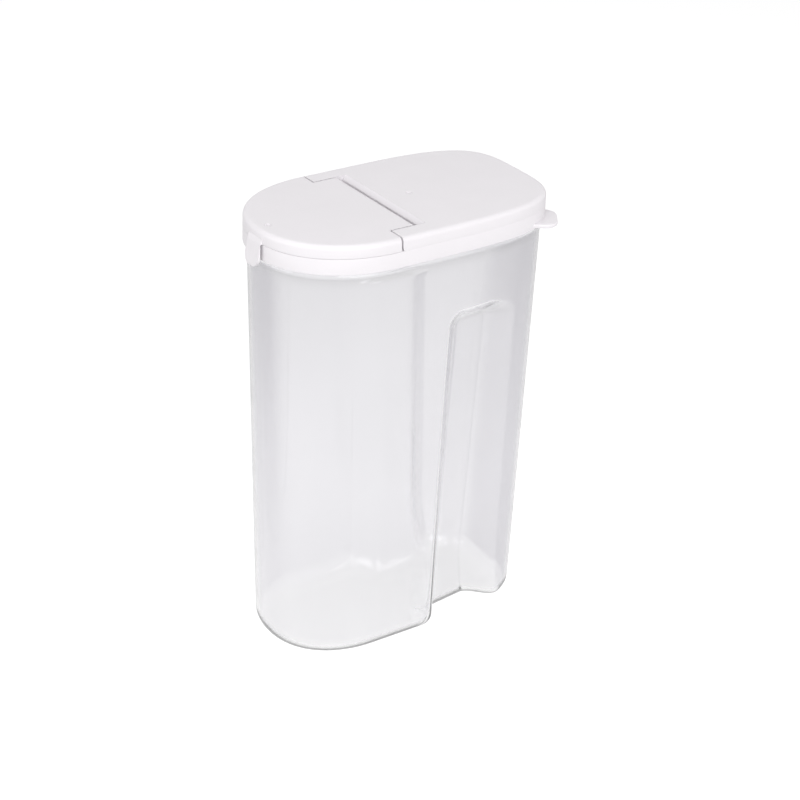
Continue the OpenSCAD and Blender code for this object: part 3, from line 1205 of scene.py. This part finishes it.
@dataclass(frozen=True)
class Lid:
    """The lift-off lid with its ears, trough, deck and pull tab.

    Attributes:
        sizes: What it shares with the flap.
        body: The container that it closes.
        lip_gap: Gap from the container's inside to the lip.
        lip_t: Thickness of the lip.
        lip_h: Length of the lip below the shoulder.
        deck_t: Thickness of the deck.
        collar_t: Thickness of the collar that carries the deck.
        trough_back: How far behind the hinge axis the trough's rear wall stands.
        slope_back: How far behind it the stop slope meets the top.
        trough_t: Thickness of the trough's walls.
        open_max: The angle in degrees at which the open flap lies along the stop slope.
        tab_place: Where the pull tab sits on the grip end's curve, in degrees.
        tab_bearing: The direction that it points in, in degrees.
        tab_w: Its width.
        tab_reach: How far it stands out.
        tab_corner: Its corner radius.
        tab_t: Its thickness.
        tab_lift: Its height above the skirt's lower edge.
        tab_edge: Radius of its edges.
        tab_steps: Chords of its corners.
        tab_rings: Rings of each of its rounded edges.
        gate_back: How far behind the hinge axis the round moulding mark lies.
    """

    sizes: Closure
    body: Container
    lip_gap: float = 0.35
    lip_t: float = 1.3
    lip_h: float = 6
    deck_t: float = 1.6
    collar_t: float = 1.4
    trough_back: float = 5.9
    slope_back: float = 8.3
    trough_t: float = 1.4
    open_max: float = 135
    tab_place: float = 37.6
    tab_bearing: float = 35
    tab_w: float = 22
    tab_reach: float = 7.4
    tab_corner: float = 7
    tab_t: float = 2.2
    tab_lift: float = 0.8
    tab_edge: float = 0.8
    tab_steps: int = 14
    tab_rings: int = 4
    gate_back: float = 23.2

    @property
    def deck_z(self) -> float:
        """Height of the deck's lower face."""
        return self.sizes.plate - self.sizes.flap_gap - self.deck_t

    @property
    def slope_top(self) -> float:
        """Where the stop slope meets the top along X."""
        return self.sizes.hinge_x + self.slope_back

    @property
    def trough_low(self) -> float:
        """Height of the trough's upper face."""
        return self.sizes.hinge_z - self.sizes.roll_r - self.sizes.flap_gap

    @property
    def trough_front(self) -> float:
        """Where the trough's front wall stands along X."""
        return self.sizes.hinge_x - self.sizes.roll_r - self.sizes.flap_gap

    def rim(self) -> Solid:
        """The skirt, the shoulder over the container's rim and the lip inside it.

        Returns:
            The new solid, which becomes the lid.
        """
        s, body = self.sizes, self.body
        lip = s.skirt_t + s.skirt_gap + body.wall + self.lip_gap + body.draft * self.lip_h / s.rim
        low = s.shoulder - self.lip_h
        profile = rounded([
            (0, s.skirt, s.edge),
            (0, s.seam, s.seam_edge),
            (lip + self.lip_t, s.seam, 0),
            (lip + self.lip_t, low, s.edge),
            (lip, low, s.edge),
            (lip, s.shoulder, s.edge),
            (s.skirt_t, s.shoulder, s.edge),
            (s.skirt_t, s.skirt, s.edge),
        ])
        return skin("lid_shell", [s.plan.ring(inset, z) for inset, z in profile], True)

    def behind(self) -> Solid:
        """Everything of the lid's plan that lies behind the flap, ears included.

        Returns:
            The new solid.
        """
        s = self.sizes
        low = s.seam - s.over
        made = prism("behind", rectangle(self.slope_top, s.far, -s.far, s.far), low, s.far)
        parts = []
        for side in Side:
            near, away = side.span(s.ear_y, s.far)
            parts.append(prism("ear", rectangle(s.hinge_x, s.far, near, away), low, s.far))
            parts.append(bar("ear_front", s.ear_circle(0), near, away))
        return change(made, parts, Change.JOIN)

    def ear_walls(self) -> list[Solid]:
        """The front face and the cheek of each ear, kept inside the skirt.

        Returns:
            The four new solids.
        """
        s = self.sizes
        front, rear = s.hinge_x - s.ear_r, self.slope_top + s.bite
        cheek = rectangle(front, rear, self.trough_low - self.trough_t, s.plate + s.bite)
        quarter = rectangle(s.hinge_x - s.far, s.hinge_x, s.seam - s.bite, s.far)
        made = []
        for side in Side:
            wall = bar("ear_wall", s.ear_circle(0), *side.span(s.ear_y, s.far))
            change(wall, [bar("ear_hole", s.ear_circle(-self.trough_t), -s.far, s.far)], Change.REMOVE)
            made.append(change(wall, [bar("ahead", quarter, -s.far, s.far)], Change.KEEP))
            made.append(bar("cheek", cheek, *side.span(s.ear_y, s.pin_end)))
        for piece in made:
            limit = prism("limit", s.plan.outline(s.skirt_t / 2), 0, s.plate + s.bite)
            change(piece, [limit], Change.KEEP)
        return made

    def trough(self) -> Solid:
        """The trough that the flap's rear edge turns in, with the stop slope behind it.

        Returns:
            The new solid.
        """
        s = self.sizes
        low = self.trough_low - self.trough_t
        rear = s.hinge_x + self.trough_back
        drop = (self.slope_back - self.trough_back) / math.tan(math.radians(self.open_max - 90))
        slope = s.top - drop
        deck_top = self.deck_z + self.deck_t
        profile = rounded([
            (self.trough_front, deck_top, s.edge),
            (self.trough_front, self.trough_low, s.edge),
            (rear, self.trough_low, s.edge),
            (rear, slope, s.edge),
            (self.slope_top, s.top, s.edge),
            (self.slope_top + 2 * s.top_t, s.top, 0),
            (self.slope_top + 2 * s.top_t, s.plate, 0),
            (self.slope_top + self.trough_t / 2, s.plate, 0),
            (rear + self.trough_t, slope - self.trough_t / 2, 0),
            (rear + self.trough_t, low, 0),
            (self.trough_front - self.trough_t, low, 0),
            (self.trough_front - self.trough_t, deck_top, s.edge),
        ])
        half = s.ear_y + s.cheek_t / 2
        return bar("trough", profile, -half, half)

    def deck(self) -> Solid:
        """The deck round the pour opening, on its collar.

        Returns:
            The new solid.
        """
        s = self.sizes
        outer = s.skirt_t + s.flap_gap
        inner = outer + self.collar_t
        high = self.deck_z + self.deck_t
        collar = rounded([
            (outer, s.seam - s.bite, 0),
            (outer, high, s.edge),
            (inner + s.over, high, 0),
            (inner + s.over, self.deck_z, 0),
            (inner, self.deck_z, 0),
            (inner, s.seam - s.bite, 0),
        ])
        made = skin("deck", [s.plan.ring(inset, z) for inset, z in collar], True)
        change(made, [prism("plate", s.plan.outline(inner), self.deck_z, high)], Change.JOIN)
        change(made, [s.pour_shape("pour", 0, self.deck_z - s.over, high + s.over)], Change.REMOVE)
        ahead = rectangle(-s.far, self.trough_front - s.bite, -s.far, s.far)
        return change(made, [prism("ahead", ahead, 0, s.far)], Change.KEEP)

    def pull_tab(self) -> Solid:
        """The rounded tab at one rear corner.

        Returns:
            The new solid.
        """
        s = self.sizes
        share = 2 / s.plan.rear_power
        turn = math.radians(self.tab_place)
        root = Vector((
            s.plan.rear_straight + s.plan.rear_curve * math.cos(turn) ** share,
            -s.plan.half_width * math.sin(turn) ** share,
        ))
        spin = Matrix.Rotation(-math.radians(self.tab_bearing), 2)
        low = s.skirt + self.tab_lift
        rings = []
        for height, inset in self._tab_levels():
            half, reach, corner = self.tab_w / 2 - inset, self.tab_reach - inset, self.tab_corner - inset
            corners = [(-half, -half, 0), (reach, -half, corner), (reach, half, corner), (-half, half, 0)]
            shape = rounded(corners, self.tab_steps)
            placed = np.array([root + spin @ Vector(point) for point in shape])
            rings.append(level(placed, low + height))
        keep_out = prism("keep_out", s.plan.outline(s.skirt_t / 2), 0, s.far)
        return change(skin("tab", rings), [keep_out], Change.REMOVE)

    def _tab_levels(self) -> list[Span]:
        """Heights above the tab's lower face, each with its inset.

        Returns:
            The heights and insets, from the lowest up.
        """
        r = self.tab_edge
        low = [(r * up, r * inward) for inward, up in quarter_round(self.tab_rings)]
        high = [(self.tab_t - height, inset) for height, inset in reversed(low)]
        return low + high

    def build(self) -> Solid:
        """Builds the lid.

        Returns:
            The new piece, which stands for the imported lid.
        """
        s = self.sizes
        cap = change(s.capped("cap", s.seam - s.bite), [self.behind()], Change.KEEP)
        piece = change(self.rim(), [cap], Change.JOIN)
        change(piece, [*self.ear_walls(), self.trough(), self.deck(), self.pull_tab()], Change.JOIN)
        bore = s.hinge_bar("bore", s.pin_r + s.pin_gap, s.pin_end + s.flap_gap)
        change(piece, [bore, s.gate(s.hinge_x + self.gate_back)], Change.REMOVE)
        dress(piece, WHITE.material(), s.sharp)
        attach(piece, "lid")
        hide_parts("lid")
        return piece


@dataclass(frozen=True)
class Flap:
    """The hinged flap with its sealing ring, rear roll, pins and thumb tongue.

    Attributes:
        sizes: What it shares with the lid.
        seal_t: Thickness of the sealing ring.
        seal_h: Its height.
        tongue_w: Width of the tongue.
        tongue_t: Its thickness where it leaves the skirt.
        tongue_out: How far its tip stands out of the skirt.
        tongue_drop: How far it hangs below the lid's skirt.
        tongue_edge: Radius of its tip in side view.
        tongue_bend: Radius of its bend below the skirt.
        tongue_round: The share of its half width that its lower end's rounding takes.
        tip_steps: Chords of the corners in side view.
        end_steps: Chords of the lower end's corners.
        gate_in: How far from the front the round moulding mark lies.
    """

    sizes: Closure
    seal_t: float = 1.3
    seal_h: float = 4
    tongue_w: float = 12.6
    tongue_t: float = 1.2
    tongue_out: float = 3.5
    tongue_drop: float = 4.3
    tongue_edge: float = 1.188
    tongue_bend: float = 6
    tongue_round: float = 0.999
    tip_steps: int = 8
    end_steps: int = 16
    gate_in: float = 7.2

    def tongue(self) -> Solid:
        """The thumb tongue that hangs in front of the lid's skirt.

        Returns:
            The new solid.
        """
        s = self.sizes
        front = -s.plan.half_length
        low = s.skirt - self.tongue_drop
        root = front + s.skirt_t / 2
        back = front - s.flap_gap
        out = front - self.tongue_out
        side = rounded([
            (root, s.flap_z, 0),
            (back, s.flap_z, 0),
            (back, low, self.tongue_edge),
            (out, low, self.tongue_edge),
            (front - self.tongue_t, s.flap_z, self.tongue_bend),
            (front, s.flap_z + s.top_edge, 0),
            (root, s.flap_z + s.top_edge, 0),
        ], self.tip_steps)
        half = self.tongue_w / 2
        corner = half * self.tongue_round
        face = [(-half, low, corner), (half, low, corner), (half, s.top, 0), (-half, s.top, 0)]
        shape = rounded(face, self.end_steps)
        ends = [np.column_stack([np.full(len(shape), x), shape]) for x in (front - s.ear_r, root)]
        return change(bar("tongue", side, -half, half), [skin("shape", ends)], Change.KEEP)

    def seal(self) -> Solid:
        """The ring that closes the pour opening.

        Returns:
            The new solid.
        """
        s = self.sizes
        low = s.plate - self.seal_h
        ring = s.pour_shape("seal", s.flap_gap, low, s.plate + s.bite)
        hole = s.pour_shape("hole", s.flap_gap + self.seal_t, low - s.over, s.plate + 2 * s.bite)
        return change(ring, [hole], Change.REMOVE)

    def build(self) -> Solid:
        """Builds the flap.

        Returns:
            The new piece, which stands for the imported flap.
        """
        s = self.sizes
        piece = s.capped("flap_shell", s.flap_z)
        cuts = [prism("behind", rectangle(s.hinge_x, s.far, -s.far, s.far), 0, s.far)]
        cuts += [bar("ear_room", s.ear_circle(s.flap_gap), *side.span(s.tail_y, s.far)) for side in Side]
        change(piece, cuts, Change.REMOVE)
        roll = s.hinge_bar("roll", s.roll_r, s.tail_y)
        pins = s.hinge_bar("pins", s.pin_r, s.pin_end)
        change(piece, [roll, pins, self.seal(), self.tongue()], Change.JOIN)
        change(piece, [s.gate(self.gate_in - s.plan.half_length)], Change.REMOVE)
        dress(piece, WHITE.material(), s.sharp)
        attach(piece, "flap")
        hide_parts("flap")
        return piece


@dataclass(frozen=True)
class Lamp:
    """A soft square lamp that points at the object.

    Attributes:
        name: The lamp's name.
        azimuth: Its bearing round the object, in degrees.
        elevation: Its height above the horizon, in degrees.
        power: Its power in watts.
        size: The length of its side in metres.
        reach: Its distance in metres.
    """

    name: str
    azimuth: float
    elevation: float
    power: float
    size: float = 1
    reach: float = 1.6

    def build(self, aim: Vector) -> None:
        """Makes the lamp.

        Args:
            aim: The point that it lights, in metres.
        """
        back = bearing(self.azimuth, self.elevation)
        data = bpy.data.lights.new(self.name, "AREA")
        data.size, data.energy = self.size, self.power
        made = add_object(self.name, data)
        made.location = aim + back * self.reach
        made.rotation_mode = "QUATERNION"
        made.rotation_quaternion = (-back).to_track_quat("-Z", "Y")


LAMPS = (
    Lamp("key", azimuth=-8, elevation=22, power=13, size=1.2),
    Lamp("top", azimuth=-60, elevation=80, power=5),
    Lamp("fill", azimuth=-100, elevation=15, power=6),
    Lamp("glint", azimuth=-48, elevation=48, power=1.5, size=0.12),
)


@dataclass(frozen=True)
class Studio:
    """The camera, the pale floor and the soft light.

    Attributes:
        aim: The point that the camera looks at, in millimetres.
        distance: How far from it the camera stands, in millimetres.
        azimuth: The camera's bearing round the object, in degrees.
        elevation: Its height above the horizon, in degrees.
        roll: Its roll in degrees.
        lens: Its focal length in millimetres.
        sensor: Its sensor's width in millimetres.
        picture: Width of the picture in pixels. The camera is shifted by half a pixel.
        clip_end: How far the camera sees, in metres.
        floor_size: Length of the floor's side, in metres.
        floor_gap: How many millimetres the floor lies below the object, so that they share no face.
        floor_colour: The floor's own grey.
        floor_rough: The floor's roughness.
        floor_glow: How much the floor is whitened where it is seen straight.
        near_glow: How much it is whitened beside the object in gloss and through clear plastic.
        far_glow: How much it is whitened so further off.
        glow_reach: The distances in metres for near and far.
        light: Strength of the light that comes from all round.
        backdrop: Strength of the surroundings where they are seen.
    """

    aim: Point = (7.550, -3.744, 130.143)
    distance: float = 1200
    azimuth: float = -35.086
    elevation: float = 27.810
    roll: float = 2.186
    lens: float = 99
    sensor: float = 36
    picture: int = 800
    clip_end: float = 100
    floor_size: float = 12
    floor_gap: float = 0.3
    floor_colour: Colour = (0.78, 0.78, 0.78)
    floor_rough: float = 0.9
    floor_glow: float = 0.45
    near_glow: float = 0.27
    far_glow: float = 0.10
    glow_reach: Span = (0.1, 0.8)
    light: float = 0.56
    backdrop: float = 1

    def camera(self) -> None:
        """Makes the camera at the photograph's viewing angle."""
        back = bearing(self.azimuth, self.elevation)
        a, r = math.radians(self.azimuth), math.radians(self.roll)
        right = Vector((math.cos(a), math.sin(a), 0))
        right = right * math.cos(r) + back.cross(right) * math.sin(r)
        turn = Matrix((right, back.cross(right), back)).transposed().to_4x4()
        place = Matrix.Translation((Vector(self.aim) + back * self.distance) * MM)
        data = bpy.data.cameras.new("camera")
        data.lens, data.sensor_width = self.lens, self.sensor
        data.shift_x, data.shift_y = -0.5 / self.picture, 0.5 / self.picture
        data.clip_end = self.clip_end
        made = add_object("camera", data)
        made.matrix_world = place @ turn
        bpy.context.scene.camera = made

    def floor(self) -> None:
        """Makes the pale floor, which keeps the object's shadow."""
        half = self.floor_size / 2 / MM
        plane = level(rectangle(-half, half, -half, half), -self.floor_gap)
        made = mesh_object("floor", plane, [[0, 1, 2, 3]])
        material, nodes, shader = new_material("pale_floor")
        shader.inputs["Base Color"].default_value = (*self.floor_colour, 1)
        shader.inputs["Roughness"].default_value = self.floor_rough
        shader.inputs["Specular IOR Level"].default_value = 0
        glow = nodes.add("ShaderNodeEmission")
        total = nodes.add("ShaderNodeAddShader")
        nodes.link(self._floor_glow(nodes), glow.inputs["Strength"])
        nodes.link(shader.outputs["BSDF"], total.inputs[0])
        nodes.link(glow.outputs["Emission"], total.inputs[1])
        nodes.show(total.outputs["Shader"])
        made.data.materials.append(material)

    @staticmethod
    def _through(nodes: Nodes, path: bpy.types.NodeOutputs) -> Socket:
        """1 for a ray that comes by gloss or through clear plastic."""
        return nodes.reckon("MAXIMUM", path["Is Glossy Ray"], path["Is Transmission Ray"])

    def _floor_glow(self, nodes: Nodes) -> Socket:
        """How much the floor is whitened.

        Args:
            nodes: The floor's nodes.

        Returns:
            The strength, which falls off with distance in gloss and through clear plastic.
        """
        reach = nodes.add("ShaderNodeVectorMath", operation="LENGTH")
        nodes.link(nodes.place(), reach.inputs[0])
        fall = nodes.remap(reach.outputs["Value"], self.glow_reach, (self.near_glow, self.far_glow))
        path = nodes.add("ShaderNodeLightPath").outputs
        dimmed = nodes.reckon("MULTIPLY", self._through(nodes, path), fall)
        straight = nodes.reckon("MULTIPLY", path["Is Camera Ray"], self.floor_glow)
        return nodes.reckon("MAXIMUM", straight, dimmed)

    def world(self) -> None:
        """Makes the plain pale surroundings, whiter where they are seen than as a light."""
        world = bpy.data.worlds.new("surroundings")
        world.use_nodes = True
        nodes = Nodes(world.node_tree)
        ground = world.node_tree.nodes["Background"]
        ground.inputs["Color"].default_value = (1, 1, 1, 1)
        path = nodes.add("ShaderNodeLightPath").outputs
        seen = nodes.reckon("MAXIMUM", path["Is Camera Ray"], self._through(nodes, path))
        nodes.link(nodes.remap(seen, (0, 1), (self.light, self.backdrop)), ground.inputs["Strength"])
        bpy.context.scene.world = world

    def build(self) -> None:
        """Builds the whole studio."""
        self.camera()
        self.floor()
        self.world()
        for lamp in LAMPS:
            lamp.build(Vector(self.aim) * MM)
        bpy.context.scene.view_settings.view_transform = "Standard"


def main() -> None:
    """Builds the studio and every piece, and reports each."""
    logging.basicConfig(level=logging.INFO, format="%(name)s: %(message)s")
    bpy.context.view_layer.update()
    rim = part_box("container")[1].z / MM
    lid_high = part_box("lid")[1] / MM
    plan = LidPlan(half_width=lid_high.y, half_length=lid_high.x)
    closure = Closure(plan, rim)
    Studio().build()
    body = Container(plan, rim, closure.skirt_t + closure.skirt_gap)
    for part in (body, Lid(closure, body), Flap(closure)):
        piece = part.build()
        log.info("%s: %d faces", piece.name, len(piece.data.polygons))


if __name__ == "__main__":
    main()
